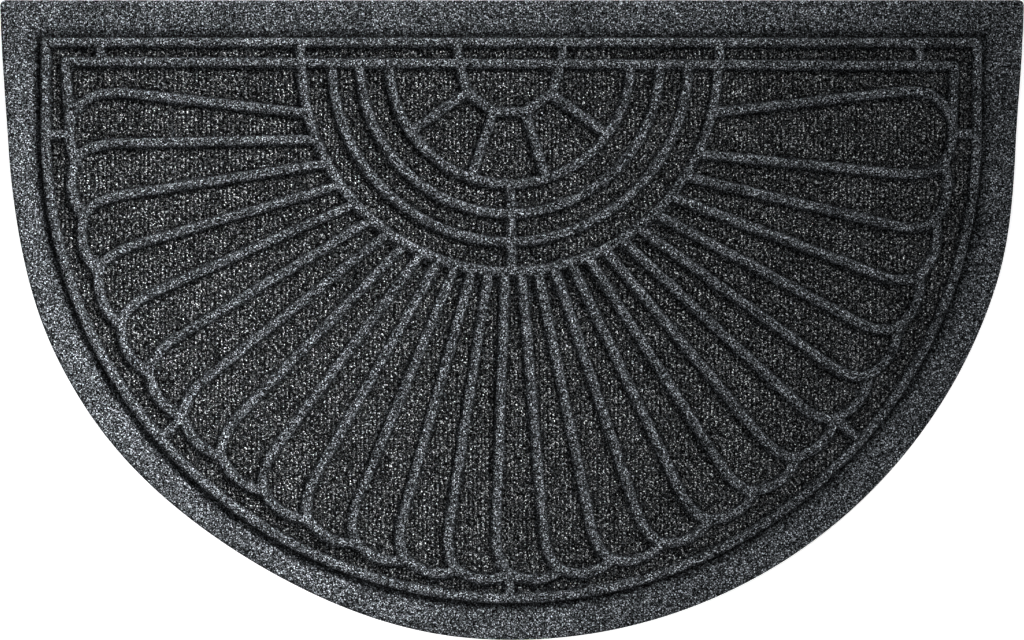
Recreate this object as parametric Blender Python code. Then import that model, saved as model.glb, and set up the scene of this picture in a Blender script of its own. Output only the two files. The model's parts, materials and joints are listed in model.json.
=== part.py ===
"""Half moon doormat: one moulded textile sheet with a raised sunburst of welts.

Metres, +Z up. The underside lies flat at z = 0 and the straight edge is at +Y.
The origin is the middle of the underside's box. Angles of the pattern are in
degrees: 0 points to the left edge, 90 to the bow, 180 to the right edge.
"""

import math

import bmesh
import bpy
from mathutils import Vector
from mathutils.geometry import delaunay_2d_cdt

# Overall size
MAT_WIDTH = 0.984
MAT_DEPTH = 0.615
BOW_RADIUS = 0.488
CORNER_CUT = 0.005
CORNER_FULLNESS = 0.6

# Heights above the floor
EDGE_HEIGHT = 0.0046
RIM_HEIGHT = 0.0060
BORDER_HEIGHT = 0.0050
CHANNEL_HEIGHT = 0.0038
FIELD_HEIGHT = 0.0060
WELT_HEIGHT = 0.0090

# Cross sections, the last three measured out from the frame line
BEVEL_WIDTH = 0.0030
WELT_TOP_HALF = 0.0028
WELT_FOOT_HALF = 0.0046
CHANNEL_FLOOR_OUT = 0.0058
CHANNEL_RIM_OUT = 0.0130
BORDER_RIM_OUT = 0.0340

# Frame line round the pattern, a straight top with a half round below it
FRAME_X = -0.0009
FRAME_TOP_Y = 0.2666
FRAME_ARC_Y = 0.1800
FRAME_RADIUS = 0.4477

# Inner line, which leans a little
PATTERN_X = -0.0024
INNER_LINE_Y = 0.2460
INNER_LINE_LEAN = 0.0019
INNER_LINE_HALF = 0.4274

# Ties between the two top lines, out from the pattern's middle
BAND_TIES = (0.0500, 0.2015, 0.3935)

# Rosette of half rings hanging from the inner line
HUB_RADIUS = 0.0490
RING_RADII = (0.1158, 0.1441, 0.1711, 0.1999)
FIRST_SPOKE = 34.5
SPOKE_STEP = 36.5
SPOKES = 4
RING_TIE = 90.4

# Fan of ribs with curled ends
FAN_Y = 0.1825
RIB_ORIGIN_Y = 0.1767
RIBS = 26
FIRST_RIB = -5.3
RIB_STEP = 7.17
RIB_SWAY = 1.65
NOTCH_TURN = 2.0
NOTCH_RADIUS = 0.4185
CREST_RADIUS = 0.4250

# The fingers grow longer round the middle of the bow
LONGEST_AT = 90.0
LONGER_BY = 0.0080
LONGER_HALF_WIDTH = 48.0

# Curl at a rib's end: turn past the rib in degrees, radius
RIB_CURL = (
    (0.0, 0.3750),
    (0.1, 0.3890),
    (0.5, 0.4020),
    (1.1, 0.4115),
)

# Wider curl of the first rib, which rounds its finger: angle, radius
FIRST_CURL = (
    (-5.5, 0.3757),
    (-4.9, 0.3950),
    (-3.9, 0.4089),
    (-2.5, 0.4180),
    (-0.7, 0.4230),
    (1.0, 0.4235),
    (2.6, 0.4212),
)
FIRST_CURL_CREST = 4

# Curl of the closing rib, which turns back over the last finger: angle, radius
CLOSING_CURL = (
    (185.6, 0.3750),
    (185.5, 0.3890),
    (184.9, 0.4046),
    (183.6, 0.4160),
    (182.2, 0.4227),
    (180.5, 0.4252),
    (178.9, 0.4253),
    (177.2, 0.4230),
)
CLOSING_CURL_CREST = 5

# Ties between the finger ends and the frame line: angle, inner radius
FINGER_TIES = (
    (0.6, CREST_RADIUS),
    (41.4, NOTCH_RADIUS),
    (90.0, NOTCH_RADIUS),
    (138.5, NOTCH_RADIUS),
    (179.5, CREST_RADIUS),
)

# Unevenness of the cut edge: middle angle, half width in degrees, depth
EDGE_DIPS = (
    (7.0, 20.0, 0.0046),
    (59.0, 27.0, 0.0060),
    (177.0, 15.0, 0.0038),
)

# Steps of the mesh
EDGE_STEP = 3.0
FRAME_STEP = 4.0
RING_STEPS = (20, 24, 28, 32)
FINGER_END_STEPS = 4
CURVE_EPSILON = 1e-7
WELD_DISTANCE = 0.0004
NEAR_ZERO = 1e-9
SHARPEST_MITRE = 0.5

CHARCOAL = (0.036, 0.039, 0.042, 1.0)
TEXTILE_ROUGHNESS = 0.95

BOW_CENTRE = (0.0, BOW_RADIUS - MAT_DEPTH / 2)
ROSETTE_CENTRE = (PATTERN_X, INNER_LINE_Y)
FAN_CENTRE = (PATTERN_X, FAN_Y)
RIB_ORIGIN = (PATTERN_X, RIB_ORIGIN_Y)
FRAME_CENTRE = (FRAME_X, FRAME_ARC_Y)


def clear_scene():
    for item in list(bpy.data.objects):
        bpy.data.objects.remove(item, do_unlink=True)


def polar(centre, degrees, radius):
    """A point by its angle from the left, turning towards the bow."""
    turn = math.radians(degrees)
    return (centre[0] - radius * math.cos(turn), centre[1] - radius * math.sin(turn))


def smooth_bump(offset, half_width):
    """1 in the middle, falling smoothly to 0 at half_width."""
    if abs(offset) >= half_width:
        return 0.0
    return 0.5 + 0.5 * math.cos(math.pi * offset / half_width)


def edge_radius(degrees, touch):
    """Distance of the cut edge from the bow's centre."""
    radius = BOW_RADIUS
    if degrees < touch:
        radius = BOW_RADIUS / math.cos(math.radians(touch - degrees))
    if degrees > 180.0 - touch:
        radius = BOW_RADIUS / math.cos(math.radians(degrees - 180.0 + touch))
    for middle, half_width, depth in EDGE_DIPS:
        radius -= depth * smooth_bump(degrees - middle, half_width)
    return radius


def rounded_corner(corner, before, after):
    """Three points that round one corner of the outline."""
    corner = Vector(corner)
    first = corner + (Vector(before) - corner).normalized() * CORNER_CUT
    last = corner + (Vector(after) - corner).normalized() * CORNER_CUT
    middle = corner.lerp((first + last) / 2, CORNER_FULLNESS)
    return [tuple(first), tuple(middle), tuple(last)]


def outline_points():
    """The cut edge, from the top left corner round the bow to the top right."""
    half = MAT_WIDTH / 2
    rise = MAT_DEPTH / 2 - BOW_CENTRE[1]
    corner_angle = -math.degrees(math.atan2(rise, half))
    touch = corner_angle + math.degrees(math.acos(BOW_RADIUS / math.hypot(rise, half)))
    steps = round((180.0 - 2 * corner_angle) / EDGE_STEP)
    bow = []
    for step in range(1, steps):
        degrees = corner_angle + (180.0 - 2 * corner_angle) * step / steps
        bow.append(polar(BOW_CENTRE, degrees, edge_radius(degrees, touch)))
    left = (-half, MAT_DEPTH / 2)
    right = (half, MAT_DEPTH / 2)
    points = rounded_corner(left, right, bow[0])
    points += bow
    points += rounded_corner(right, bow[-1], left)
    return points


def arc(centre, start, stop, radius, steps):
    return [polar(centre, start + (stop - start) * step / steps, radius)
            for step in range(steps + 1)]


def reach_circle(origin, through, centre, radius):
    """Where the ray from origin through a point leaves a circle."""
    ray = (Vector(through) - Vector(origin)).normalized()
    gap = Vector(origin) - Vector(centre)
    along = ray.dot(gap)
    reach = -along + math.sqrt(along ** 2 - gap.length_squared + radius ** 2)
    return tuple(Vector(origin) + ray * reach)


def frame_path(outset=0.0):
    """The frame line that runs round the pattern, or a line outside it."""
    radius = FRAME_RADIUS + outset
    top = FRAME_TOP_Y + outset
    points = [(FRAME_X - radius, top)]
    points += arc(FRAME_CENTRE, 0.0, 180.0, radius, round(180.0 / FRAME_STEP))
    points.append((FRAME_X + radius, top))
    return points + points[:1]


def rib_angle(index):
    """Fingers are a little wider at the mat's sides than at its bow."""
    even = FIRST_RIB + RIB_STEP * index
    return even + RIB_SWAY * math.sin(math.radians(2 * even))


def fan_point(degrees, radius):
    """A point of the fan, whose fingers are longest round the bow's middle."""
    longer = LONGER_BY * smooth_bump(degrees - LONGEST_AT, LONGER_HALF_WIDTH)
    return polar(FAN_CENTRE, degrees, radius + longer)


def notch(index):
    return fan_point(rib_angle(index) + NOTCH_TURN, NOTCH_RADIUS)


def rib_path(curl):
    """A rib from the rosette's outer ring to the end of its curl."""
    root = reach_circle(RIB_ORIGIN, curl[0], ROSETTE_CENTRE, RING_RADII[-1])
    return [root] + curl


def rib_paths():
    paths = [rib_path([fan_point(*row) for row in FIRST_CURL] + [notch(1)])]
    for index in range(1, RIBS):
        angle = rib_angle(index)
        curl = [fan_point(angle + turn, radius) for turn, radius in RIB_CURL]
        paths.append(rib_path(curl + [notch(index)]))
    paths.append(rib_path([fan_point(*row) for row in CLOSING_CURL] + [notch(RIBS - 1)]))
    return paths


def finger_end_paths():
    """The bulged end of each finger, from notch to notch."""
    paths = []
    for index in range(1, RIBS - 1):
        start = rib_angle(index) + NOTCH_TURN
        stop = rib_angle(index + 1) + NOTCH_TURN
        points = []
        for step in range(FINGER_END_STEPS + 1):
            part = step / FINGER_END_STEPS
            bulge = (CREST_RADIUS - NOTCH_RADIUS) * math.sin(math.pi * part)
            points.append(fan_point(start + (stop - start) * part, NOTCH_RADIUS + bulge))
        paths.append(points)
    return paths


def finger_tie_paths():
    paths = []
    for degrees, radius in FINGER_TIES:
        inner = fan_point(degrees, radius)
        paths.append([inner, reach_circle(FAN_CENTRE, inner, FRAME_CENTRE, FRAME_RADIUS)])
    return paths


def rosette_paths():
    """A many-sided hub with spokes, then the rings and the tie across them."""
    spokes = [FIRST_SPOKE + SPOKE_STEP * index for index in range(SPOKES)]
    paths = [[polar(ROSETTE_CENTRE, degrees, HUB_RADIUS) for degrees in [0.0, *spokes, 180.0]]]
    paths += [arc(ROSETTE_CENTRE, 0.0, 180.0, radius, steps)
              for radius, steps in zip(RING_RADII, RING_STEPS)]
    paths += [[polar(ROSETTE_CENTRE, degrees, HUB_RADIUS),
               polar(ROSETTE_CENTRE, degrees, RING_RADII[0])] for degrees in spokes]
    paths.append([polar(ROSETTE_CENTRE, RING_TIE, RING_RADII[0]),
                  polar(ROSETTE_CENTRE, RING_TIE, RING_RADII[-1])])
    return paths


def inner_line_point(out):
    """A point of the inner line, by its distance from the pattern's middle."""
    return (PATTERN_X + out, INNER_LINE_Y - INNER_LINE_LEAN * out / INNER_LINE_HALF)


def inner_line_paths():
    """The inner line, its turned-down ends and the ties up to the frame line."""
    paths = [[fan_point(*FIRST_CURL[FIRST_CURL_CREST]),
              inner_line_point(-INNER_LINE_HALF),
              inner_line_point(INNER_LINE_HALF),
              fan_point(*CLOSING_CURL[CLOSING_CURL_CREST])]]
    for out in BAND_TIES:
        for side in (-out, out):
            paths.append([inner_line_point(side), (PATTERN_X + side, FRAME_TOP_Y)])
    return paths


def welt_paths():
    return ([frame_path()] + inner_line_paths() + rosette_paths() + rib_paths()
            + finger_end_paths() + finger_tie_paths())


def side_line(path, offset):
    """A line beside a path, mitred at its bends."""
    points = [Vector(point) for point in path]
    closed = (points[0] - points[-1]).length < NEAR_ZERO
    last = len(points) - 1
    line = []
    for index, point in enumerate(points):
        before = points[index - 1] if index > 0 else points[-2] if closed else point
        after = points[index + 1] if index < last else points[1] if closed else point
        ahead = (after - point).normalized() if after != point else (point - before).normalized()
        behind = (point - before).normalized() if before != point else ahead
        bisector = (ahead + behind).normalized()
        stretch = offset / max(bisector.dot(ahead), SHARPEST_MITRE)
        line.append((point.x - bisector.y * stretch, point.y + bisector.x * stretch))
    return line


def distance_to_path(point, path):
    best = math.inf
    for start, stop in zip(path, path[1:]):
        run_x = stop[0] - start[0]
        run_y = stop[1] - start[1]
        part = (point[0] - start[0]) * run_x + (point[1] - start[1]) * run_y
        part = min(1.0, max(0.0, part / (run_x ** 2 + run_y ** 2)))
        best = min(best, math.hypot(point[0] - start[0] - part * run_x,
                                    point[1] - start[1] - part * run_y))
    return best


def outset_from_frame(point):
    """How far a point lies outside the frame line, negative inside."""
    if point[1] < FRAME_ARC_Y:
        return math.hypot(point[0] - FRAME_X, point[1] - FRAME_ARC_Y) - FRAME_RADIUS
    return max(abs(point[0] - FRAME_X) - FRAME_RADIUS, point[1] - FRAME_TOP_Y)


def ramp(value, low, high):
    return min(1.0, max(0.0, (value - low) / (high - low)))


def ground_height(point, edge):
    """Height of the sheet without its welts."""
    outset = outset_from_frame(point)
    if outset < 0.0:
        return FIELD_HEIGHT
    bank = (BORDER_HEIGHT - CHANNEL_HEIGHT) * ramp(outset, CHANNEL_FLOOR_OUT, CHANNEL_RIM_OUT)
    rise = (RIM_HEIGHT - BORDER_HEIGHT) * ramp(outset, CHANNEL_RIM_OUT, BORDER_RIM_OUT)
    bevel = 1.0 - ramp(distance_to_path(point, edge), 0.0, BEVEL_WIDTH)
    return CHANNEL_HEIGHT + bank + rise - (RIM_HEIGHT - EDGE_HEIGHT) * bevel


def welt_share(point, paths):
    """1 on a welt's flat top, 0 beyond its foot."""
    distance = min(distance_to_path(point, path) for path in paths)
    return 1.0 - ramp(distance, WELT_TOP_HALF, WELT_FOOT_HALF)


def surface_height(point, edge, paths):
    ground = ground_height(point, edge)
    return ground + (WELT_HEIGHT - ground) * welt_share(point, paths)


def guide_lines(paths):
    """Lines that the top surface keeps as edges."""
    lines = []
    for path in paths:
        for half in (WELT_TOP_HALF, WELT_FOOT_HALF):
            lines.append(side_line(path, half))
            lines.append(side_line(path, -half))
    lines.append(frame_path(CHANNEL_FLOOR_OUT))
    lines.append(frame_path(CHANNEL_RIM_OUT))
    return lines


def flat_layout(outline, lines):
    """Points and triangles of the top, seen from above."""
    points = list(outline)
    edges = []
    for line in lines:
        start = len(points)
        points += line
        edges += [(start + step, start + step + 1) for step in range(len(line) - 1)]
    rim = [list(range(len(outline)))]
    result = delaunay_2d_cdt([Vector(point) for point in points], edges, rim, 1, CURVE_EPSILON)
    return result[0], result[2]


def mat_mesh():
    paths = welt_paths()
    outline = outline_points()
    edge = outline + outline[:1]
    lines = guide_lines(paths)
    lines.append(side_line(edge, BEVEL_WIDTH))
    layout, triangles = flat_layout(outline, lines)

    shape = bmesh.new()
    top = [shape.verts.new((point.x, point.y, surface_height(point, edge, paths)))
           for point in layout]
    for triangle in triangles:
        shape.faces.new([top[index] for index in triangle])
    bmesh.ops.remove_doubles(shape, verts=shape.verts, dist=WELD_DISTANCE)
    loose = [vert for vert in shape.verts if not vert.link_faces]
    bmesh.ops.delete(shape, geom=loose, context="VERTS")

    rim = [link for link in shape.edges if link.is_boundary]
    walls = bmesh.ops.extrude_edge_only(shape, edges=rim)["geom"]
    for vert in walls:
        if isinstance(vert, bmesh.types.BMVert):
            vert.co.z = 0.0
    base = [link for link in shape.edges if link.is_boundary]
    bmesh.ops.contextual_create(shape, geom=base)
    bmesh.ops.triangulate(shape, faces=shape.faces)
    bmesh.ops.recalc_face_normals(shape, faces=shape.faces)

    mesh = bpy.data.meshes.new("mat")
    shape.to_mesh(mesh)
    shape.free()
    return mesh


def charcoal_textile():
    material = bpy.data.materials.new("charcoal_textile")
    material.use_nodes = True
    shader = material.node_tree.nodes["Principled BSDF"]
    shader.inputs["Base Color"].default_value = CHARCOAL
    shader.inputs["Roughness"].default_value = TEXTILE_ROUGHNESS
    shader.inputs["Metallic"].default_value = 0.0
    return material


def build_mat():
    mesh = mat_mesh()
    mesh.materials.append(charcoal_textile())
    mat = bpy.data.objects.new("mat", mesh)
    bpy.context.collection.objects.link(mat)


clear_scene()
build_mat()
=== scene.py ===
# %% [markdown]
# # Half moon doormat
# The real mat is one piece of charcoal needled cloth. A heated mould raised its welts and
# pressed its border, and between the welts the cloth keeps its pile, in straight columns.
# A flat plane with a bump would look right from above alone. Here the relief and the pile
# are real meshes, so the mat also looks right from the side, and the finish adds the flecks.

# %% Load the fixed frame
import json
import math

import bmesh
import bpy
import numpy as np
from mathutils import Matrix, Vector
from mathutils.geometry import delaunay_2d_cdt
from mathutils.kdtree import KDTree

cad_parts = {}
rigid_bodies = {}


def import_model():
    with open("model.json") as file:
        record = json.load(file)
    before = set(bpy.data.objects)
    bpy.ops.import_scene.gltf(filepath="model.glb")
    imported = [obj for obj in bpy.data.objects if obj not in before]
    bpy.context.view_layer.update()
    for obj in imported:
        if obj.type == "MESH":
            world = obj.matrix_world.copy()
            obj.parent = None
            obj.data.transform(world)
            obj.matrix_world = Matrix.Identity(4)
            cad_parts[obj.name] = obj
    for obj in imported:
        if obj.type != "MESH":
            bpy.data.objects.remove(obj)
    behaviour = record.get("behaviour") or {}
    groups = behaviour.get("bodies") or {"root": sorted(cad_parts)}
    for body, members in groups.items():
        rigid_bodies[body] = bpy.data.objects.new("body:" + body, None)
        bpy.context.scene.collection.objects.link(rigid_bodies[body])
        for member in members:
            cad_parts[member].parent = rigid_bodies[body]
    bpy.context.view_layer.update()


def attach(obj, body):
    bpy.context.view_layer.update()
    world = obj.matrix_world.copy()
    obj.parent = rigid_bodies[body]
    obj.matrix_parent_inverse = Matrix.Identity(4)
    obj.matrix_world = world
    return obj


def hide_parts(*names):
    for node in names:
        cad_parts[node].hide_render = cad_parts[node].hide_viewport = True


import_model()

# %% [markdown]
# ## Sizes
# Everything is in metres, with the mat's underside at z = 0 and its straight edge at +Y.
# The sizes follow the solid's, so that the finished mat stays in the room it holds. Only
# two differ: the ground lies lower here, because the pile still has to stand on it, and the
# border's rim is a little higher, so that the border is a rounded bank.
# Angles of the pattern are in degrees: 0 points left, 90 to the bow and 180 right.

# %% Name the sizes
MM = 0.001
MAT_WIDTH = 0.984
MAT_DEPTH = 0.615
BOW_RADIUS = 0.488
BOW_CENTRE = (0.0, BOW_RADIUS - MAT_DEPTH / 2)

EDGE_HEIGHT = 4.6 * MM
RIM_HEIGHT = 6.8 * MM
CHANNEL_HEIGHT = 3.8 * MM
GROUND_HEIGHT = 4.4 * MM
WELT_HEIGHT = 9.0 * MM

PATTERN_X = -0.0024
FRAME_X = -0.0009
FRAME_TOP_Y = 0.2666
FRAME_ARC_Y = 0.1800
FRAME_RADIUS = 0.4477
FRAME_CENTRE = (FRAME_X, FRAME_ARC_Y)
INNER_LINE_Y = 0.2460
ROSETTE_CENTRE = (PATTERN_X, INNER_LINE_Y)
FAN_CENTRE = (PATTERN_X, 0.1825)
RIB_ORIGIN = (PATTERN_X, 0.1767)

print("welts over the ground in mm:", round((WELT_HEIGHT - GROUND_HEIGHT) / MM, 1))

# %% [markdown]
# ## Drawing helpers
# The whole pattern hangs on a few centres, so most points are given by an angle and a
# radius. A short table of points is rounded with a spline that passes through each of them,
# which a maker would do by bending a strip of steel round a few pins.

# %% Points by angle, arcs and rounded tables
def polar(centre, degrees, radius):
    turn = math.radians(degrees)
    return (centre[0] - radius * math.cos(turn), centre[1] - radius * math.sin(turn))


def smooth_bump(offset, half_width):
    """1 in the middle, falling smoothly to 0 at half_width."""
    if abs(offset) >= half_width:
        return 0.0
    return 0.5 + 0.5 * math.cos(math.pi * offset / half_width)


def arc(centre, start, stop, radius, steps):
    return [polar(centre, start + (stop - start) * step / steps, radius)
            for step in range(steps + 1)]


def reach_circle(origin, through, centre, radius):
    """Where the ray from origin through a point leaves a circle."""
    ray = (Vector(through) - Vector(origin)).normalized()
    gap = Vector(origin) - Vector(centre)
    along = ray.dot(gap)
    reach = -along + math.sqrt(along ** 2 - gap.length_squared + radius ** 2)
    return tuple(Vector(origin) + ray * reach)


def rounded(points, pieces=6):
    """A centripetal spline through the points, so that long and short gaps don't loop."""
    knots = [Vector(point) for point in points]
    knots = [2 * knots[0] - knots[1]] + knots + [2 * knots[-1] - knots[-2]]
    line = []
    for a, b, c, d in zip(knots, knots[1:], knots[2:], knots[3:]):
        t1 = math.sqrt((b - a).length)
        t2 = t1 + math.sqrt((c - b).length)
        t3 = t2 + math.sqrt((d - c).length)
        for piece in range(pieces):
            t = t1 + (t2 - t1) * piece / pieces
            ab = a.lerp(b, t / t1)
            bc = b.lerp(c, (t - t1) / (t2 - t1))
            cd = c.lerp(d, (t - t2) / (t3 - t2))
            first = ab.lerp(bc, t / t2)
            last = bc.lerp(cd, (t - t1) / (t3 - t1))
            line.append(tuple(first.lerp(last, (t - t1) / (t2 - t1))))
    return line + [tuple(knots[-2])]


# %% [markdown]
# ## The cut edge
# The edge is a half round with a straight top. Its two ends rise as tangents to the top
# corners, and three shallow dips make it as uneven as the real, hand-trimmed one.

# %% Draw the cut edge
CORNER_CUT = 5 * MM
CORNER_CLEARANCE = 1.2 * CORNER_CUT
CORNER_FULLNESS = 0.6
CORNER_PIECES = 3
EDGE_STEPS = 420
TOP_STEPS = 260
EDGE_DIPS = (  # middle angle, half width in degrees, depth
    (7.0, 20.0, 4.6 * MM),
    (59.0, 27.0, 6.0 * MM),
    (177.0, 15.0, 3.8 * MM),
)


def edge_radius(degrees, touch):
    radius = BOW_RADIUS
    if degrees < touch:
        radius = BOW_RADIUS / math.cos(math.radians(touch - degrees))
    if degrees > 180.0 - touch:
        radius = BOW_RADIUS / math.cos(math.radians(degrees - 180.0 + touch))
    for middle, half_width, depth in EDGE_DIPS:
        radius -= depth * smooth_bump(degrees - middle, half_width)
    return radius


def rounded_corner(corner, before, after):
    corner = Vector(corner)
    first = corner + (Vector(before) - corner).normalized() * CORNER_CUT
    last = corner + (Vector(after) - corner).normalized() * CORNER_CUT
    middle = corner.lerp((first + last) / 2, CORNER_FULLNESS)
    return rounded([tuple(first), tuple(middle), tuple(last)], CORNER_PIECES)


def cut_edge():
    """From the top left corner round the bow to the top right, and back along the top."""
    half = MAT_WIDTH / 2
    rise = MAT_DEPTH / 2 - BOW_CENTRE[1]
    corner_angle = -math.degrees(math.atan2(rise, half))
    touch = corner_angle + math.degrees(math.acos(BOW_RADIUS / math.hypot(rise, half)))
    bow = []
    for step in range(1, EDGE_STEPS):
        degrees = corner_angle + (180.0 - 2 * corner_angle) * step / EDGE_STEPS
        point = polar(BOW_CENTRE, degrees, edge_radius(degrees, touch))
        if MAT_DEPTH / 2 - point[1] > CORNER_CLEARANCE:
            bow.append(point)
    left = (-half, MAT_DEPTH / 2)
    right = (half, MAT_DEPTH / 2)
    outline = rounded_corner(left, right, bow[0]) + bow
    outline += rounded_corner(right, bow[-1], left)
    start, stop = outline[-1], outline[0]
    top = [(start[0] + (stop[0] - start[0]) * step / TOP_STEPS, start[1])
           for step in range(1, TOP_STEPS)]
    return outline + top


EDGE = cut_edge()
print("cut edge:", len(EDGE), "points")

# %% [markdown]
# ## The frame line, the inner line and their ties
# A raised line runs all round the pattern. A second one crosses below the straight edge,
# turns down at both ends and is tied to the first by six short welts.

# %% Draw the frame and the inner line
INNER_LINE_LEAN = 1.9 * MM
INNER_LINE_HALF = 0.4274
BAND_TIES = (0.0500, 0.2015, 0.3935)
FRAME_STEPS = 180


def frame_line(outset=0.0):
    radius = FRAME_RADIUS + outset
    top = FRAME_TOP_Y + outset
    points = [(FRAME_X - radius, top)]
    points += arc(FRAME_CENTRE, 0.0, 180.0, radius, FRAME_STEPS)
    points.append((FRAME_X + radius, top))
    return points + points[:1]


def inner_line_point(out):
    return (PATTERN_X + out, INNER_LINE_Y - INNER_LINE_LEAN * out / INNER_LINE_HALF)


def band_ties():
    return [[inner_line_point(out), (PATTERN_X + out, FRAME_TOP_Y)]
            for tie in BAND_TIES for out in (-tie, tie)]


print("ties to the frame:", len(band_ties()))


# %% [markdown]
# ## The rosette
# Four half rings hang from the inner line round a small many-sided hub, which four spokes
# hold to the first ring. One tie crosses the rings below it.

# %% Draw the rosette
HUB_RADIUS = 0.0490
RING_RADII = (0.1158, 0.1441, 0.1711, 0.1999)
RING_STEPS = 90
SPOKE_ANGLES = (34.5, 71.0, 107.5, 144.0)
RING_TIE_ANGLE = 90.4


def rosette():
    paths = [[polar(ROSETTE_CENTRE, degrees, HUB_RADIUS)
              for degrees in (0.0, *SPOKE_ANGLES, 180.0)]]
    paths += [arc(ROSETTE_CENTRE, 0.0, 180.0, radius, RING_STEPS) for radius in RING_RADII]
    paths += [[polar(ROSETTE_CENTRE, degrees, HUB_RADIUS),
               polar(ROSETTE_CENTRE, degrees, RING_RADII[0])] for degrees in SPOKE_ANGLES]
    paths.append([polar(ROSETTE_CENTRE, RING_TIE_ANGLE, RING_RADII[0]),
                  polar(ROSETTE_CENTRE, RING_TIE_ANGLE, RING_RADII[-1])])
    return paths


print("welts of the rosette:", len(rosette()))


# %% [markdown]
# ## The fan
# Twenty-seven ribs run out from the last ring and curl into the rounded ends of the
# twenty-six fingers between them. The fingers are a little wider at the mat's sides than at
# its bow, and longest in the middle. A loop draws the ribs, and only the first and the last
# one need a table of their own.

# %% Draw the ribs, finger ends and ties
FINGERS = 26
FIRST_RIB = -5.3
RIB_STEP = 7.17
RIB_SWAY = 1.65
NOTCH_TURN = 2.0
NOTCH_RADIUS = 0.4185
CREST_RADIUS = 0.4250
LONGEST_AT = 90.0
LONGER_BY = 8 * MM
LONGER_HALF_WIDTH = 48.0
FINGER_END_STEPS = 12
RIB_CURL = (  # turn past the rib in degrees, radius
    (0.0, 0.3750),
    (0.1, 0.3890),
    (0.5, 0.4020),
    (1.1, 0.4115),
)
FIRST_CURL = (  # angle, radius
    (-5.5, 0.3757),
    (-4.9, 0.3950),
    (-3.9, 0.4089),
    (-2.5, 0.4180),
    (-0.7, 0.4230),
    (1.0, 0.4235),
    (2.6, 0.4212),
)
CLOSING_CURL = (  # angle, radius
    (185.6, 0.3750),
    (185.5, 0.3890),
    (184.9, 0.4046),
    (183.6, 0.4160),
    (182.2, 0.4227),
    (180.5, 0.4252),
    (178.9, 0.4253),
    (177.2, 0.4230),
)
FIRST_CURL_CREST = 4
CLOSING_CURL_CREST = 5
FINGER_TIES = (  # angle, inner radius
    (0.6, CREST_RADIUS),
    (41.4, NOTCH_RADIUS),
    (90.0, NOTCH_RADIUS),
    (138.5, NOTCH_RADIUS),
    (179.5, CREST_RADIUS),
)


def rib_angle(index):
    even = FIRST_RIB + RIB_STEP * index
    return even + RIB_SWAY * math.sin(math.radians(2 * even))


def fan_point(degrees, radius):
    longer = LONGER_BY * smooth_bump(degrees - LONGEST_AT, LONGER_HALF_WIDTH)
    return polar(FAN_CENTRE, degrees, radius + longer)


def notch(index):
    return fan_point(rib_angle(index) + NOTCH_TURN, NOTCH_RADIUS)


def rib(curl):
    root = reach_circle(RIB_ORIGIN, curl[0], ROSETTE_CENTRE, RING_RADII[-1])
    return [root] + rounded(curl)


def finger_end(index):
    start = rib_angle(index) + NOTCH_TURN
    stop = rib_angle(index + 1) + NOTCH_TURN
    points = []
    for step in range(FINGER_END_STEPS + 1):
        part = step / FINGER_END_STEPS
        bulge = (CREST_RADIUS - NOTCH_RADIUS) * math.sin(math.pi * part)
        points.append(fan_point(start + (stop - start) * part, NOTCH_RADIUS + bulge))
    return points


def fan():
    paths = [rib([fan_point(*row) for row in FIRST_CURL] + [notch(1)])]
    for index in range(1, FINGERS):
        angle = rib_angle(index)
        curl = [fan_point(angle + turn, radius) for turn, radius in RIB_CURL]
        paths.append(rib(curl + [notch(index)]))
    paths.append(rib([fan_point(*row) for row in CLOSING_CURL] + [notch(FINGERS - 1)]))
    paths += [finger_end(index) for index in range(1, FINGERS - 1)]
    for degrees, radius in FINGER_TIES:
        inner = fan_point(degrees, radius)
        paths.append([inner, reach_circle(FAN_CENTRE, inner, FRAME_CENTRE, FRAME_RADIUS)])
    return paths


def inner_line():
    return [fan_point(*FIRST_CURL[FIRST_CURL_CREST]), inner_line_point(-INNER_LINE_HALF),
            inner_line_point(INNER_LINE_HALF), fan_point(*CLOSING_CURL[CLOSING_CURL_CREST])]


WELTS = [frame_line(), inner_line()] + band_ties() + rosette() + fan()
print("welts:", len(WELTS))

# %% [markdown]
# ## Where the mesh needs its points
# A welt is about 9 mm wide, so an even grid fine enough for it would be millions of faces.
# Instead, rows of points follow each welt, close together on its shoulders, and the open
# pile gets a coarse honeycomb. A row stops where it would run into another welt.

# %% Rows beside the welts
ROW_OFFSETS = (0.0, 1.3 * MM, 2.4 * MM, 3.3 * MM, 4.1 * MM, 4.9 * MM, 6.0 * MM)
ROW_STEP = 2.5 * MM
LINE_STEP = 0.5 * MM
ROW_SLACK = 0.15 * MM
NO_LENGTH = 1e-12


def spaced(path, step):
    """Even points along a path, and the direction to its left at each of them."""
    corners = np.array(path)
    lengths = np.hypot(*np.diff(corners, axis=0).T)
    along = np.concatenate([[0.0], np.cumsum(lengths)])
    wanted = np.linspace(0.0, along[-1], max(2, round(along[-1] / step) + 1))
    points = np.stack([np.interp(wanted, along, corners[:, side]) for side in (0, 1)],
                      axis=1)
    ahead = np.gradient(points, axis=0)
    ahead /= np.maximum(np.hypot(*ahead.T), NO_LENGTH)[:, None]
    return points, np.stack([-ahead[:, 1], ahead[:, 0]], axis=1)


def tree_of(points):
    tree = KDTree(len(points))
    for index, (x, y) in enumerate(points):
        tree.insert((x, y, 0.0), index)
    tree.balance()
    return tree


def distances(points, tree):
    return np.array([tree.find((x, y, 0.0))[2] for x, y in points])


welt_tree = tree_of(np.concatenate([spaced(path, LINE_STEP)[0] for path in WELTS]))
edge_tree = tree_of(spaced(EDGE + EDGE[:1], LINE_STEP)[0])


def welt_rows():
    rows = []
    for path in WELTS:
        points, left = spaced(path, ROW_STEP)
        for offset in ROW_OFFSETS:
            for side in ((1,) if offset == 0.0 else (1, -1)):
                row = points + left * offset * side
                rows.append(row[distances(row, welt_tree) > offset - ROW_SLACK])
    return np.concatenate(rows)


rows = welt_rows()
print("points beside the welts:", len(rows))

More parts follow.
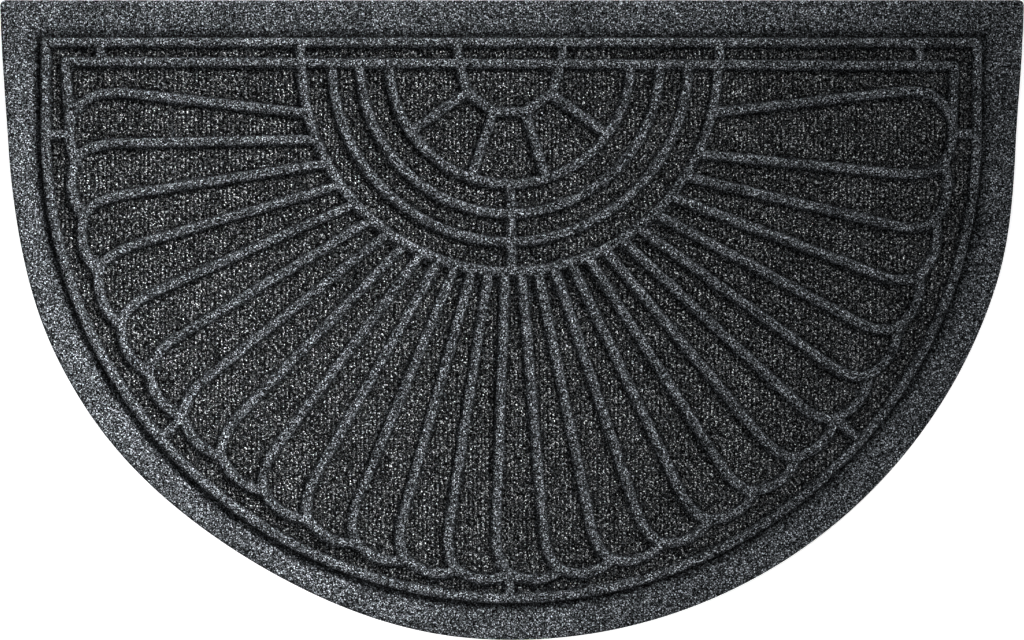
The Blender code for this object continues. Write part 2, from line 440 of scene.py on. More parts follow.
# %% [markdown]
# ## The channel, the cut edge and the open ground
# Outside the frame line the mould leaves a channel. Beyond it the border rises as a rounded
# bank to its rim, which keeps water in. Rows follow that channel and the cut edge, and a
# honeycomb fills what is left.

# %% Rows along the border and the honeycomb
CHANNEL_FLOOR_OUT = 5.8 * MM
BORDER_RIM_OUT = 32.0 * MM
CHANNEL_ROWS = (CHANNEL_FLOOR_OUT, 8.0 * MM, 10.5 * MM, 13.0 * MM)
EDGE_ROWS = (0.9 * MM, 2.2 * MM, 4.5 * MM)
BORDER_STEP = 4.0 * MM
HONEYCOMB_STEP = 4.4 * MM
HONEYCOMB_JITTER = 0.1
CLEAR_OF_ROWS = 2.4 * MM
KEEP_APART = 0.75 * MM
SEED = 7


def inside_edge(points):
    """Which points lie inside the cut edge."""
    centre = np.array(BOW_CENTRE)
    turn = np.arctan2(points[:, 1] - centre[1], points[:, 0] - centre[0])
    edge = np.array(EDGE) - centre
    edge_turn = np.arctan2(edge[:, 1], edge[:, 0])
    order = np.argsort(edge_turn)
    reach = np.interp(turn, edge_turn[order], np.hypot(*edge[order].T), period=2 * math.pi)
    return np.hypot(*(points - centre).T) < reach


def edge_rows():
    points, left = spaced(EDGE + EDGE[:1], BORDER_STEP)
    return np.concatenate([points[:-1] + left[:-1] * inset for inset in EDGE_ROWS])


def channel_rows():
    return np.concatenate([spaced(frame_line(outset), BORDER_STEP)[0][:-1]
                           for outset in CHANNEL_ROWS])


def honeycomb(taken):
    across = np.arange(-MAT_WIDTH / 2, MAT_WIDTH / 2, HONEYCOMB_STEP)
    down = np.arange(-MAT_DEPTH / 2, MAT_DEPTH / 2, HONEYCOMB_STEP * math.sqrt(3) / 2)
    x, y = np.meshgrid(across, down)
    x[1::2] += HONEYCOMB_STEP / 2
    points = np.stack([x.ravel(), y.ravel()], axis=1)
    jitter = np.random.default_rng(SEED).uniform(-1, 1, points.shape)
    points += jitter * HONEYCOMB_JITTER * HONEYCOMB_STEP
    points = points[inside_edge(points)]
    return points[distances(points, tree_of(taken)) > CLEAR_OF_ROWS]


def thinned(points, apart):
    """Drops each point that is too near one already kept."""
    kept, cells = [], {}
    for point in points:
        column, row = int(point[0] // apart), int(point[1] // apart)
        near = (cells.get((column + i, row + j)) for i in (-1, 0, 1) for j in (-1, 0, 1))
        if all(other is None or math.dist(point, other) >= apart for other in near):
            cells[column, row] = tuple(point)
            kept.append(tuple(point))
    return kept


rows = np.concatenate([rows, channel_rows(), edge_rows()])
filling = honeycomb(np.concatenate([rows, np.array(EDGE)]))
ground_points = thinned(np.concatenate([rows, filling]), KEEP_APART)
edge_gaps = distances(ground_points, edge_tree)
ground_points = [point for point, gap in zip(ground_points, edge_gaps) if gap > KEEP_APART]
print("points of the top:", len(ground_points))

# %% [markdown]
# ## Join the points into triangles
# Delaunay triangulation joins scattered points into the fattest triangles it can, inside
# the cut edge. Each point also gets the height of the ground there, without its welts, and
# how far it lies outside the frame line, because the pile is only inside it.

# %% Triangulate and measure the ground
BEVEL_WIDTH = 3.0 * MM
INSIDE_THE_RIM = 1
MERGE_WITHIN = 1e-7


def outset_from_frame(points):
    x, y = points[:, 0] - FRAME_X, points[:, 1]
    round_part = np.hypot(x, y - FRAME_ARC_Y) - FRAME_RADIUS
    square_part = np.maximum(np.abs(x) - FRAME_RADIUS, y - FRAME_TOP_Y)
    return np.where(y < FRAME_ARC_Y, round_part, square_part)


def ground_height(points):
    outset = outset_from_frame(points)
    climbed = np.clip((outset - CHANNEL_FLOOR_OUT) / (BORDER_RIM_OUT - CHANNEL_FLOOR_OUT),
                      0.0, 1.0)
    bank = (RIM_HEIGHT - CHANNEL_HEIGHT) * np.sin(climbed * math.pi / 2)
    bevel = 1.0 - np.sqrt(np.clip(distances(points, edge_tree) / BEVEL_WIDTH, 0.0, 1.0))
    outer = CHANNEL_HEIGHT + bank - (RIM_HEIGHT - EDGE_HEIGHT) * bevel
    return np.where(outset < 0.0, GROUND_HEIGHT, outer)


def top_layout():
    points = [Vector(point) for point in EDGE + ground_points]
    rim = [list(range(len(EDGE)))]
    made = delaunay_2d_cdt(points, [], rim, INSIDE_THE_RIM, MERGE_WITHIN)
    mesh = bpy.data.meshes.new("top_layout")
    mesh.from_pydata([(x, y, 0.0) for x, y in made[0]], [], made[2])
    flat = np.array([tuple(point) for point in made[0]])
    measures = {"ground": ground_height(flat), "outset": outset_from_frame(flat)}
    for name, values in measures.items():
        mesh.attributes.new(name, "FLOAT", "POINT").data.foreach_set("value", values)
    layout = bpy.data.objects.new("top_layout", mesh)
    bpy.context.collection.objects.link(layout)
    return layout


layout = top_layout()
print("triangles of the top:", len(layout.data.polygons))

# %% [markdown]
# ## A short way to write node trees
# Geometry Nodes and materials are both trees of nodes. This helper makes a node, sets its
# options, and links or fills its inputs in one call, so that a tree reads from top to
# bottom like a recipe.

# %% Node helper
class Tree:
    def __init__(self, tree):
        self.tree = tree

    def node(self, kind, inputs=None, **options):
        made = self.tree.nodes.new(kind)
        for name, value in options.items():
            setattr(made, name, value)
        for key, value in (inputs or {}).items():
            if isinstance(value, bpy.types.NodeSocket):
                self.tree.links.new(value, made.inputs[key])
            else:
                made.inputs[key].default_value = value
        return made

    def link(self, output, target):
        self.tree.links.new(output, target)

    def math(self, operation, first, second=0.0, third=0.0):
        return self.node("ShaderNodeMath", {0: first, 1: second, 2: third},
                         operation=operation).outputs[0]

    def vector(self, operation, first, second):
        return self.node("ShaderNodeVectorMath", {0: first, 1: second},
                         operation=operation).outputs[0]

    def combine(self, x=0.0, y=0.0, z=0.0):
        return self.node("ShaderNodeCombineXYZ", {0: x, 1: y, 2: z}).outputs[0]

    def smooth_range(self, value, low, high, to_low=0.0, to_high=1.0):
        return self.node("ShaderNodeMapRange", {
            "Value": value, 1: low, 2: high, 3: to_low, 4: to_high},
            interpolation_type="SMOOTHSTEP").outputs[0]

    def read(self, name):
        """The number of that name that is stored on each point."""
        return self.node("GeometryNodeInputNamedAttribute", {"Name": name},
                         data_type="FLOAT").outputs[0]

    def store(self, geometry, name, value):
        return self.node("GeometryNodeStoreNamedAttribute", {
            "Geometry": geometry, "Name": name, "Value": value},
            data_type="FLOAT", domain="POINT").outputs[0]


def geometry_tree(name, sockets):
    """A Geometry Nodes tree with a geometry in and out, and the named inputs."""
    group = bpy.data.node_groups.new(name, "GeometryNodeTree")
    for way in ("INPUT", "OUTPUT"):
        group.interface.new_socket("Geometry", in_out=way, socket_type="NodeSocketGeometry")
    for label, kind in sockets:
        group.interface.new_socket(label, in_out="INPUT", socket_type="NodeSocket" + kind)
    tree = Tree(group)
    return tree, tree.node("NodeGroupInput").outputs, tree.node("NodeGroupOutput").inputs


def grown(holder, group, values, name):
    """Runs a tree on an object and returns what it makes as a plain mesh object."""
    modifier = holder.modifiers.new(name, "NODES")
    modifier.node_group = group
    for item in group.interface.items_tree:
        if item.in_out == "INPUT" and item.name in values:
            modifier[item.identifier] = values[item.name]
    bpy.context.view_layer.update()
    depsgraph = bpy.context.evaluated_depsgraph_get()
    mesh = bpy.data.meshes.new_from_object(holder.evaluated_get(depsgraph))
    holder.modifiers.remove(modifier)
    made = bpy.data.objects.new(name, mesh)
    mesh.name = name
    bpy.context.collection.objects.link(made)
    return made


# %% [markdown]
# ## Raise the welts
# The mould's welts all have one cross section, wherever they run. So one tree measures the
# distance from each point to the nearest welt line and looks the height up on a curve. A
# little noise in that distance makes the shoulders as soft and wavy as pressed felt, a slow
# swell keeps the ground from lying dead flat, and a crease runs along each foot.

# %% Draw the welt lines as a wire
def wire(name, paths):
    """Edges alone, for the tree to measure distances to."""
    points, edges = [], []
    for path in paths:
        start = len(points)
        points += [(x, y, 0.0) for x, y in path]
        edges += [(start + i, start + i + 1) for i in range(len(path) - 1)]
    mesh = bpy.data.meshes.new(name)
    mesh.from_pydata(points, edges, [])
    made = bpy.data.objects.new(name, mesh)
    bpy.context.collection.objects.link(made)
    return made


welt_wire = wire("welt_wire", WELTS)
print("points of the welt lines:", len(welt_wire.data.vertices))

# %% Measure the way to the nearest welt
PROFILE_REACH = 6.9 * MM
PROFILE = (  # share of the reach, share of the height
    (0.00, 1.00),
    (0.22, 0.99),
    (0.40, 0.93),
    (0.55, 0.72),
    (0.67, 0.38),
    (0.78, 0.11),
    (0.89, 0.015),
    (1.00, 0.00),
)
WAVER = 0.7 * MM
WAVER_SCALE = 170.0
OFFSET_DETAIL = 2.0
MIDDLE_GREY = (0.5, 0.5, 0.5)


def noise_offset(tree, scale, size, position):
    """A random vector that changes smoothly over the mat, at most about half size."""
    noise = tree.node("ShaderNodeTexNoise", {
        "Vector": position, "Scale": scale, "Detail": OFFSET_DETAIL})
    centred = tree.vector("SUBTRACT", noise.outputs["Color"], MIDDLE_GREY)
    return tree.vector("MULTIPLY", centred, size)


def way_to_welt(tree, given, position):
    """The way to the nearest welt line, as a share of the profile's reach."""
    waver = tree.combine(given["Waver"], given["Waver"])
    moved = tree.vector("ADD", position, noise_offset(tree, WAVER_SCALE, waver, position))
    lines = tree.node("GeometryNodeObjectInfo", {"Object": given["Welt Lines"]})
    near = tree.node("GeometryNodeProximity", {
        0: lines.outputs["Geometry"], "Source Position": moved}, target_element="EDGES")
    return tree.math("DIVIDE", near.outputs["Distance"], given["Profile Reach"])


def profile_share(tree, reach):
    """The profile's share of the height, from a curve."""
    curve = tree.node("ShaderNodeFloatCurve", {"Value": reach})
    points = curve.mapping.curves[0].points
    points[0].location, points[-1].location = PROFILE[0], PROFILE[-1]
    for across, share in PROFILE[1:-1]:
        points.new(across, share)
    curve.mapping.update()
    return curve.outputs[0]


# %% Work out the height
SWELL = 0.5 * MM
SWELL_SCALE = 38.0
SWELL_ROOM = 0.2 * MM
CREASE_DEPTH = 0.6 * MM
CREASE_SHARES = (0.74, 0.92, 1.00, 1.40)


def relief(tree, given, position, reach, profile, inside):
    """The ground and its swell, raised to the welts and lowered along their feet."""
    ground = tree.read("ground")
    rise = tree.math("SUBTRACT", given["Welt Height"], ground)
    height = tree.math("MULTIPLY_ADD", rise, profile, ground)
    swell = noise_offset(tree, SWELL_SCALE, tree.combine(z=given["Swell"]), position)
    swell = tree.node("ShaderNodeSeparateXYZ", {0: swell}).outputs[2]
    height = tree.math("ADD", height, swell)
    crease = tree.math("MULTIPLY", tree.smooth_range(reach, *CREASE_SHARES[:2]),
                       tree.smooth_range(reach, *CREASE_SHARES[2:], 1.0, 0.0))
    crease = tree.math("MULTIPLY", tree.math("MULTIPLY", crease, inside), given["Crease"])
    return tree.math("SUBTRACT", height, crease)


# %% [markdown]
# The tree also stores two shares for the finish. One says how pale the cloth is: the pressed
# crowns and the border are pale. The same share also paints shade: it fades over the welts'
# flanks and is dark at their feet, in the channel and on the ground under the pile, where
# shade falls. The other says how full the pile grows, which thins out towards a welt, and
# the pile's finish darkens with it as painted shade near the welts. They are stored before
# the lift, because a distance measured after it would count the height as well.

# %% Store the shares and raise the welts
# Painted shade: the crowns fade over the flanks, the feet and the ground under the pile keep
# only a low paleness, and the channel stays dark up to the start of BANK_OUT.
CROWN_SHARES = (0.22, 1.00)
PAINTED_FOOT_SHADE_LEVEL = 0.12
PILE_SHARES = (0.86, 1.75)
PILE_EDGE = (0.5 * MM, 1.5 * MM)
BANK_OUT = (5.0 * MM, 17.0 * MM)


def welt_tree_group():
    tree, given, result = geometry_tree("raise_welts", [
        ("Welt Lines", "Object"), ("Welt Height", "Float"), ("Profile Reach", "Float"),
        ("Waver", "Float"), ("Swell", "Float"), ("Crease", "Float")])
    position = tree.node("GeometryNodeInputPosition").outputs[0]
    reach = way_to_welt(tree, given, position)
    profile = profile_share(tree, reach)
    outset = tree.read("outset")
    inside = tree.smooth_range(outset, *PILE_EDGE, 1.0, 0.0)
    height = relief(tree, given, position, reach, profile, inside)
    # The pale crowns and border are the pressed cloth's own paleness. The dark flanks, feet,
    # channel and ground under the pile are painted shade.
    pale = tree.math("MAXIMUM", tree.smooth_range(profile, *CROWN_SHARES),
                     tree.smooth_range(outset, *BANK_OUT))
    pale = tree.math("MAXIMUM", pale, tree.math("MULTIPLY", inside, PAINTED_FOOT_SHADE_LEVEL))
    pile = tree.math("MULTIPLY", inside, tree.smooth_range(reach, *PILE_SHARES))
    stored = tree.store(tree.store(given["Geometry"], "pale", pale), "pile", pile)
    raised = tree.node("GeometryNodeSetPosition", {
        "Geometry": stored, "Offset": tree.combine(z=height)})
    tree.link(raised.outputs[0], result["Geometry"])
    return tree.tree


sheet = grown(layout, welt_tree_group(), {
    "Welt Lines": welt_wire, "Welt Height": WELT_HEIGHT - SWELL_ROOM,
    "Profile Reach": PROFILE_REACH, "Waver": WAVER, "Swell": SWELL,
    "Crease": CREASE_DEPTH}, "mat_sheet")
heights = [vert.co.z for vert in sheet.data.vertices]
print("relief in mm:", round(1000 * min(heights), 2), "to", round(1000 * max(heights), 2))

# %% [markdown]
# ## Close the sheet
# So far the mat is a skin. The cut edge goes down to the floor and a flat underside closes
# it, so the mesh has a thickness and can be held, weighed or printed.

# %% Add the cut side and the underside
SMOOTH_ABOVE = 0.5 * MM
SMOOTH_SLOPE = 0.3


def close_sheet(mesh):
    shape = bmesh.new()
    shape.from_mesh(mesh)
    rim = [link for link in shape.edges if link.is_boundary]
    walls = bmesh.ops.extrude_edge_only(shape, edges=rim)["geom"]
    for vert in walls:
        if isinstance(vert, bmesh.types.BMVert):
            vert.co.z = 0.0
    base = [link for link in shape.edges if link.is_boundary]
    bmesh.ops.contextual_create(shape, geom=base)
    bmesh.ops.triangulate(shape, faces=shape.faces)
    bmesh.ops.recalc_face_normals(shape, faces=shape.faces)
    for face in shape.faces:
        on_top = face.calc_center_median().z > SMOOTH_ABOVE
        face.smooth = on_top and abs(face.normal.z) > SMOOTH_SLOPE
    shape.to_mesh(mesh)
    shape.free()


close_sheet(sheet.data)
print("sheet:", len(sheet.data.polygons), "triangles")

# %% [markdown]
# ## The pile
# Needling leaves the pile in columns 4 mm apart, made of small nubs that almost touch along
# the column. Tens of thousands of nubs would be slow to place by hand, so a tree lays a
# grid of points, drops each one on the sheet, keeps those on open pile, and puts one coarse
# nub on each. The mat is done in strips, so that each piece stays under 200,000 triangles.

# %% Shape one nub
NUB_HALF = (2.05 * MM, 1.70 * MM, 1.25 * MM)
NUB_UNEVEN = (0.88, 1.10)
NUB_SEED = 3


def nub_object():
    shape = bmesh.new()
    bmesh.ops.create_icosphere(shape, subdivisions=1, radius=1.0)
    uneven = np.random.default_rng(NUB_SEED)
    for vert in shape.verts:
        vert.co = vert.co * uneven.uniform(*NUB_UNEVEN) * Vector(NUB_HALF)
    for face in shape.faces:
        face.smooth = True
    mesh = bpy.data.meshes.new("nub")
    shape.to_mesh(mesh)
    shape.free()
    made = bpy.data.objects.new("nub", mesh)
    bpy.context.collection.objects.link(made)
    return made


nub = nub_object()
print("nub:", len(nub.data.polygons), "triangles")

# %% [markdown]
# The tree below has a name for each size of the pile. Its random values have fixed seeds,
# so every run sets the same nubs. First it lays out the columns, each half a step off the
# one before, and moves each point a little astray.

# %% Lay out the columns
COLUMN_PITCH = 4.0 * MM
NUB_STEP = 2.75 * MM
STRAY = 0.85 * MM


def random_vector(tree, given, low, high, seed_step):
    """A vector between the two corners, from a seed of its own."""
    seed = tree.math("ADD", given["Seed"], float(seed_step))
    return tree.node("FunctionNodeRandomValue", {0: low, 1: high, "Seed": seed},
                     data_type="FLOAT_VECTOR").outputs[0]


def columns_of_points(tree, given):
    pitch, step = given["Column Pitch"], given["Nub Step"]
    left, right = given["Left Limit"], given["Right Limit"]
    width = tree.math("SUBTRACT", right, left)
    columns = tree.math("ROUND", tree.math("DIVIDE", width, pitch))
    in_each = tree.math("ROUND", tree.math("DIVIDE", MAT_DEPTH, step))
    grid = tree.node("GeometryNodeMeshGrid", {
        "Size X": tree.math("MULTIPLY", tree.math("SUBTRACT", columns, 1.0), pitch),
        "Size Y": tree.math("MULTIPLY", tree.math("SUBTRACT", in_each, 1.0), step),
        "Vertices X": columns, "Vertices Y": in_each})
    points = tree.node("GeometryNodeMeshToPoints", {0: grid.outputs[0]})
    index = tree.node("GeometryNodeInputIndex").outputs[0]
    column = tree.math("FLOOR", tree.math("DIVIDE", tree.math("ADD", index, 0.5), in_each))
    stagger = tree.math("MULTIPLY", tree.math("MODULO", column, 2.0),
                        tree.math("MULTIPLY", step, 0.5))
    middle = tree.math("MULTIPLY", tree.math("ADD", left, right), 0.5)
    stray = tree.vector("MULTIPLY", random_vector(tree, given, (-1, -1, 0), (1, 1, 0), 1),
                        tree.combine(given["Stray"], given["Stray"]))
    placed = tree.node("GeometryNodeSetPosition", {
        "Geometry": points.outputs[0],
        "Offset": tree.vector("ADD", tree.combine(middle, stagger), stray)})
    return placed.outputs[0]


# %% [markdown]
# Then it drops each point on the sheet with a ray. The ray brings back how full the pile
# grows there, and points on bare cloth are taken away.

# %% Drop the points on the pile
DROP_FROM = 30 * MM
BARE_BELOW = 0.01


def points_on_pile(tree, given, points):
    target = tree.node("GeometryNodeObjectInfo", {"Object": given["Sheet"]})
    position = tree.node("GeometryNodeInputPosition").outputs[0]
    drop = tree.node("GeometryNodeRaycast", {
        "Target Geometry": target.outputs["Geometry"], "Attribute": tree.read("pile"),
        "Source Position": tree.vector("ADD", position, (0, 0, DROP_FROM)),
        "Ray Direction": (0, 0, -1), "Ray Length": 2 * DROP_FROM}, data_type="FLOAT")
    lift = tree.combine(z=given["Lift"])
    landed = tree.node("GeometryNodeSetPosition", {
        "Geometry": tree.store(points, "fullness", drop.outputs["Attribute"]),
        "Position": tree.vector("ADD", drop.outputs["Hit Position"], lift)})
    bare = tree.node("FunctionNodeCompare", {0: tree.read("fullness"), 1: BARE_BELOW},
                     data_type="FLOAT", operation="LESS_THAN")
    kept = tree.node("GeometryNodeDeleteGeometry", {
        "Geometry": landed.outputs[0], "Selection": bare.outputs[0]}, domain="POINT")
    return kept.outputs[0]


# %% [markdown]
# Last, it puts a nub on each point that is left. No two have the same size and turn, and
# they are lower where the pile thins out.

# %% Put a nub on each point
NUB_LIFT = 0.10 * MM
SMALLEST_NUB = (0.85, 0.80, 0.75)
LARGEST_NUB = (1.12, 1.25, 1.20)
NUB_TURN = (0.3, 0.3, 3.14)
LOW_NUB = 0.75
FULL_NUB_FROM = 0.3


def nub_tree_group():
    tree, given, result = geometry_tree("set_nubs", [
        ("Sheet", "Object"), ("Nub", "Object"), ("Left Limit", "Float"),
        ("Right Limit", "Float"), ("Column Pitch", "Float"), ("Nub Step", "Float"),
        ("Lift", "Float"), ("Stray", "Float"), ("Finish", "Material"), ("Seed", "Int")])
    kept = points_on_pile(tree, given, columns_of_points(tree, given))
    shape = tree.node("GeometryNodeObjectInfo", {"Object": given["Nub"]})
    rise = tree.smooth_range(tree.read("fullness"), 0.0, FULL_NUB_FROM, LOW_NUB, 1.0)
    size = tree.vector("MULTIPLY", random_vector(tree, given, SMALLEST_NUB, LARGEST_NUB, 2),
                       tree.combine(1.0, 1.0, rise))
    turn = random_vector(tree, given, [-angle for angle in NUB_TURN], NUB_TURN, 3)
    set_nubs = tree.node("GeometryNodeInstanceOnPoints", {
        "Points": kept, "Instance": shape.outputs["Geometry"], "Rotation": turn,
        "Scale": size})
    real = tree.node("GeometryNodeRealizeInstances", {"Geometry": set_nubs.outputs[0]})
    done = tree.node("GeometryNodeSetMaterial", {
        "Geometry": real.outputs[0], "Material": given["Finish"]})
    tree.link(done.outputs[0], result["Geometry"])
    return tree.tree


# %% [markdown]
# ## The finish
# The cloth is spun from black, grey and pale fibres, so close up it is a mass of pale flecks
# about a millimetre across on near black. Cells of noise give each fleck its own grey and
# a dark edge, and warping the cells makes the flecks look like short crimped fibres. Pressed
# cloth has closer, paler flecks, and the pile is darker, with deep gaps between its flecks.
#
# Wool and needled fibre hardly shine, so the shader's specular level is low. Otherwise a
# grey veil of reflected sky would lie over the black fibres.

# %% Make the flecks
PRESSED_STEPS = (  # share of the fibres, grey
    (0.00, 0.002),
    (0.31, 0.010),
    (0.51, 0.105),
    (0.75, 0.320),
    (0.89, 0.610),
    (1.00, 0.900),
)
PILE_STEPS = (  # share of the fibres, grey
    (0.00, 0.001),
    (0.44, 0.005),
    (0.60, 0.085),
    (0.75, 0.360),
    (0.88, 0.760),
    (1.00, 0.980),
)
FLECK_EDGE = (0.24, 0.62)
CRIMP = 1.2
CRIMP_SCALE = 0.9
CRIMP_DETAIL = 1.0


def grey_curve(tree, value, steps):
    ramp = tree.node("ShaderNodeValToRGB", {"Fac": value})
    elements = ramp.color_ramp.elements
    while len(elements) < len(steps):
        elements.new(0.5)
    for element, (place, grey) in zip(elements, steps):
        element.position = place
        element.color = (grey, grey, grey, 1.0)
    return tree.node("ShaderNodeSeparateColor", {0: ramp.outputs["Color"]}).outputs[0]


def flecks(tree, place, scale, steps):
    """Crimped cells, each with its own grey, which fades towards the cell's edge."""
    warp = tree.node("ShaderNodeTexNoise", {
        "Vector": place, "Scale": scale * CRIMP_SCALE, "Detail": CRIMP_DETAIL})
    centred = tree.vector("SUBTRACT", warp.outputs["Color"], MIDDLE_GREY)
    crimp = tree.vector("MULTIPLY", centred, [CRIMP / scale] * 3)
    cells = tree.node("ShaderNodeTexVoronoi", {
        "Vector": tree.vector("ADD", place, crimp), "Scale": scale})
    pick = tree.node("ShaderNodeSeparateColor", {0: cells.outputs["Color"]}).outputs[0]
    fade = tree.smooth_range(cells.outputs["Distance"], *FLECK_EDGE, 1.0, 0.0)
    return tree.math("MULTIPLY", grey_curve(tree, pick, steps), fade)


# %% [markdown]
# The two finishes share one recipe: coarse and fine flecks, slow patches, and the share
# that the sheet or the pile stores, which darkens the cloth as painted shade at the welts'
# feet, in the channel, under the pile and on the nubs near the welts. Fine noise over the
# flecks is the fuzz of single fibres, which the bump raises.

# %% Mix the two finishes
FLECK_SCALE = 760.0
FINE_SCALE = 1300.0
FINE_SHARE = 0.35
BLUISH = (0.93, 1.0, 1.08)
NEUTRAL = (0.97, 1.0, 1.02)
PATCHES = {"Scale": 26.0, "Detail": 3.0}
PATCH_NOISE = (0.3, 0.7)
PATCH_SHADES = (0.80, 1.18)
PALE_FIBRE = 0.4
ROUGHNESS = (0.97, 0.82)
SPECULAR_LEVEL = 0.02
FUZZ = {"Scale": 900.0, "Detail": 4.0, "Roughness": 0.7}
FLECK_RELIEF = 1.5


def cloth_material(name, steps, cast, share, darkest_painted_shade, bump):
    """Flecked cloth, pale where a stored share of the piece is high and darkened with
    painted shade where it is low.
    """
    material = bpy.data.materials.new(name)
    material.use_nodes = True
    tree = Tree(material.node_tree)
    shader = material.node_tree.nodes["Principled BSDF"]
    place = tree.node("ShaderNodeTexCoord").outputs["Object"]
    coarse = flecks(tree, place, FLECK_SCALE, steps)
    fine = flecks(tree, place, FINE_SCALE, steps)
    grey = tree.math("MULTIPLY_ADD", fine, FINE_SHARE, coarse)
    patch = tree.node("ShaderNodeTexNoise", {"Vector": place, **PATCHES})
    patchy = tree.smooth_range(patch.outputs["Fac"], *PATCH_NOISE, *PATCH_SHADES)
    given = tree.node("ShaderNodeAttribute", attribute_name=share).outputs["Fac"]
    # Painted shade: where the stored share is low, the grey falls to the darkest share of
    # itself.
    shade = tree.math("MULTIPLY_ADD", given, 1.0 - darkest_painted_shade, darkest_painted_shade)
    grey = tree.math("MULTIPLY", grey, tree.math("MULTIPLY", patchy, shade))
    tinted = tree.node("ShaderNodeVectorMath", {0: cast, "Scale": grey}, operation="SCALE")
    tree.link(tinted.outputs[0], shader.inputs["Base Color"])
    rough = tree.smooth_range(grey, 0.0, PALE_FIBRE, *ROUGHNESS)
    tree.link(rough, shader.inputs["Roughness"])
    shader.inputs["Specular IOR Level"].default_value = SPECULAR_LEVEL
    fuzz = tree.node("ShaderNodeTexNoise", {"Vector": place, **FUZZ})
    height = tree.math("MULTIPLY_ADD", grey, FLECK_RELIEF, fuzz.outputs["Fac"])
    bumped = tree.node("ShaderNodeBump", {
        "Height": height, "Distance": bump, "Strength": 1.0})
    tree.link(bumped.outputs[0], shader.inputs["Normal"])
    return material


# Painted shade on the sheet: at the welts' feet, in the channel and under the pile the grey
# falls to 0.12 of itself.
pressed_cloth = cloth_material("pressed_cloth", PRESSED_STEPS, BLUISH, share="pale",
                               darkest_painted_shade=0.12, bump=0.60 * MM)
# Painted shade on the pile: nubs where the pile thins towards a welt fall towards 0.55 of
# their grey.
pile_cloth = cloth_material("pile_cloth", PILE_STEPS, NEUTRAL, share="fullness",
                            darkest_painted_shade=0.55, bump=0.45 * MM)
sheet.data.materials.clear()
sheet.data.materials.append(pressed_cloth)
print("finishes:", pressed_cloth.name, pile_cloth.name)

# %% [markdown]
# With the finish ready, the pile can be set, one strip of the mat after another.

# %% Set the pile in strips
STRIPS = 5
STRIP_COLUMNS = 45
STRIP_SEED_STEP = 10


def pile_strips():
    nub.data.materials.append(pile_cloth)
    group = nub_tree_group()
    holder = bpy.data.objects.new("pile_holder", bpy.data.meshes.new("pile_holder"))
    bpy.context.collection.objects.link(holder)
    strips = []
    width = STRIP_COLUMNS * COLUMN_PITCH
    left = -STRIPS * width / 2
    for index in range(STRIPS):
        strips.append(grown(holder, group, {
            "Sheet": sheet, "Nub": nub, "Left Limit": left + index * width,
            "Right Limit": left + (index + 1) * width, "Column Pitch": COLUMN_PITCH,
            "Nub Step": NUB_STEP, "Lift": NUB_LIFT, "Stray": STRAY, "Finish": pile_cloth,
            "Seed": SEED + STRIP_SEED_STEP * index}, f"pile_strip_{index + 1}"))
        print(strips[-1].name, len(strips[-1].data.polygons), "triangles")
    bpy.data.objects.remove(holder)
    return strips


strips = pile_strips()
for helper in (layout, welt_wire, nub):
    bpy.data.objects.remove(helper)

# %% [markdown]
# ## Tie the pieces to the solid
# The mat has no moving parts, so all of it rides on the one body. The sheet and its pile
# stand for the solid mat, which stays hidden as the shape that things collide with.

for piece in [sheet, *strips]:
    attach(piece, "root")
    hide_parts("mat")
print("pieces on the body:", 1 + len(strips))

# %% [markdown]
# ## Floor, light and camera
# A pale floor and soft lights suit a flat thing seen from above. The floor glows a little,
# like a light table, so that the mat's shadow on it stays faint.

# %% Floor
FLOOR_SIZE = 40.0
FLOOR_GREY = 0.9
FLOOR_ROUGHNESS = 0.9
FLOOR_GLOW = 0.62


def make_floor():
    mesh = bpy.data.meshes.new("floor")
    half = FLOOR_SIZE / 2
    mesh.from_pydata([(-half, -half, 0), (half, -half, 0), (half, half, 0),
                      (-half, half, 0)], [], [(0, 1, 2, 3)])
    floor = bpy.data.objects.new("floor", mesh)
    bpy.context.collection.objects.link(floor)
    paint = bpy.data.materials.new("floor_paint")
    paint.use_nodes = True
    shader = paint.node_tree.nodes["Principled BSDF"]
    shader.inputs["Base Color"].default_value = (FLOOR_GREY, FLOOR_GREY, FLOOR_GREY, 1.0)
    shader.inputs["Roughness"].default_value = FLOOR_ROUGHNESS
    shader.inputs["Emission Color"].default_value = (1.0, 1.0, 1.0, 1.0)
    shader.inputs["Emission Strength"].default_value = FLOOR_GLOW
    mesh.materials.append(paint)
    return floor


floor = make_floor()
print("floor in metres:", round(floor.dimensions.x))

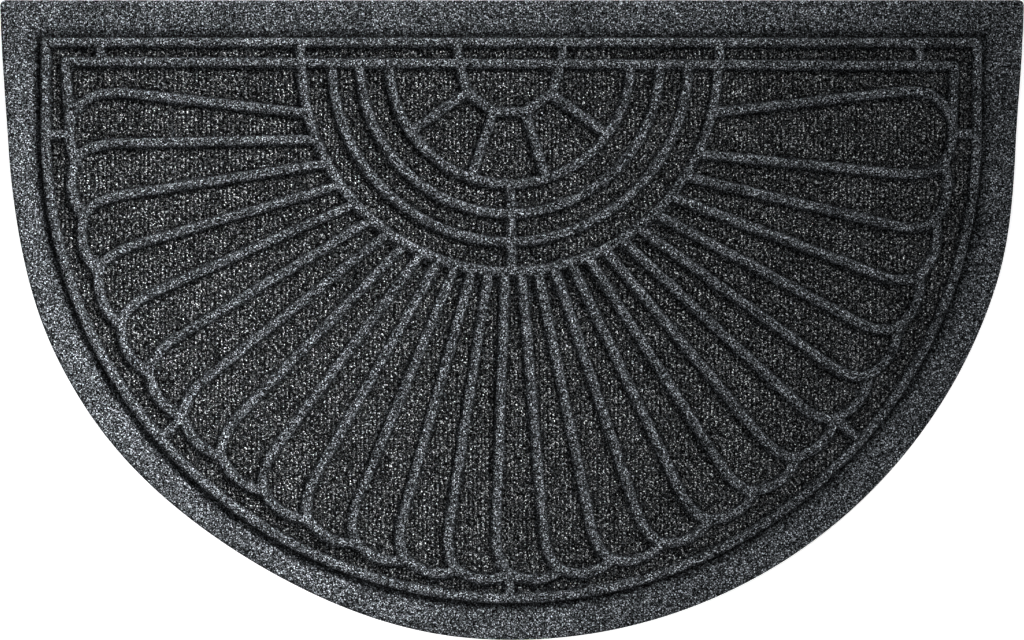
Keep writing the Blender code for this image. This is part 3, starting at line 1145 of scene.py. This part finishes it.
# %% [markdown]
# The key comes in low from the upper right, so that each welt throws a soft shadow to its
# lower left. A second and stronger lamp stands beside it. A grid over it narrows its beam to
# the lower left end of the mat, and makes that end brighter. A soft fill beyond the bow and
# a weak sky keep the shadows from going black.

# %% Lights
LIGHTS = (  # name, place, aim, size, power in watts, spread in degrees
    ("key_light", (2.4, 3.0, 2.0), (0.0, 0.0, 0.0), 1.0, 12.0, 120.0),
    ("grid_light", (2.2, 2.8, 1.9), (-1.55, -1.3, 0.0), 1.0, 26.0, 22.0),
    ("fill_light", (-0.7, -1.0, 1.3), (-0.7, -1.0, 0.0), 1.2, 18.0, 180.0),
)
SKY_COLOUR = (0.95, 0.97, 1.0, 1.0)
SKY_STRENGTH = 0.17


def area_light(name, place, aim, size, power, spread):
    lamp = bpy.data.lights.new(name, "AREA")
    lamp.shape = "DISK"
    lamp.size = size
    lamp.energy = power
    lamp.spread = math.radians(spread)
    holder = bpy.data.objects.new(name, lamp)
    holder.location = place
    beam = Vector(aim) - Vector(place)
    holder.rotation_euler = beam.to_track_quat("-Z", "Y").to_euler()
    bpy.context.collection.objects.link(holder)


for row in LIGHTS:
    area_light(*row)

sky = bpy.data.worlds.new("studio")
bpy.context.scene.world = sky
sky.use_nodes = True
background = sky.node_tree.nodes["Background"]
background.inputs["Color"].default_value = SKY_COLOUR
background.inputs["Strength"].default_value = SKY_STRENGTH
print("lamps:", len(LIGHTS))

# %% [markdown]
# The camera looks straight down. Its height follows from its lens: at the tips of the pile,
# the mat's width just fills the picture.

# %% Camera
LENS = 90.0
SENSOR = 36.0
VIEW_HEIGHT = 6 * MM

camera_data = bpy.data.cameras.new("camera")
camera_data.lens = LENS
camera_data.sensor_width = SENSOR
camera = bpy.data.objects.new("camera", camera_data)
camera.location = (0.0, 0.0, VIEW_HEIGHT + MAT_WIDTH * LENS / SENSOR)
bpy.context.collection.objects.link(camera)
bpy.context.scene.camera = camera
bpy.context.scene.view_settings.view_transform = "Standard"
print("camera height in metres:", round(camera.location.z, 3))
